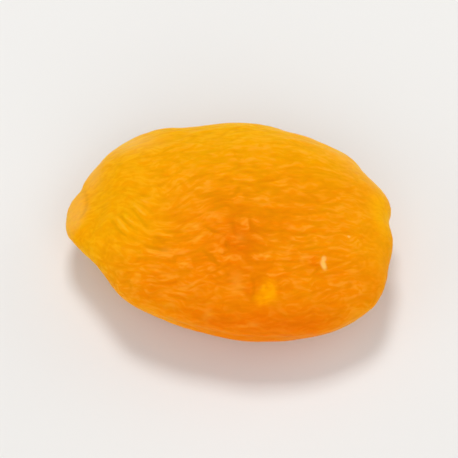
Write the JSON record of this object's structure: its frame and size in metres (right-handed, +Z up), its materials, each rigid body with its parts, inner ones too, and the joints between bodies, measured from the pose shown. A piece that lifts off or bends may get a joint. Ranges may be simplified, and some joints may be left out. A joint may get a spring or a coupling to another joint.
{
  "type": "dried apricot",
  "caption": "Whole pitted dried apricot: a flattened, softly wrinkled orange fruit with a small lip at its stem end, lying on its flat underside.",
  "frame": {"origin": "on the surface the fruit lies on, under the middle of the fruit", "axes": "+X from the stem end's lip to the blossom end, +Z up through the flattened fruit, +Y across it, away from the seam side"},
  "size_m": [0.0446, 0.033, 0.0142],
  "materials": {
    "dried_flesh": "soft, slightly translucent dried skin in warm orange, brighter yellow along the rim, with fine wrinkles and a low satin sheen"
  },
  "bodies": {
    "root": {"dried_apricot": "dried_flesh"}
  },
  "joints": []
}
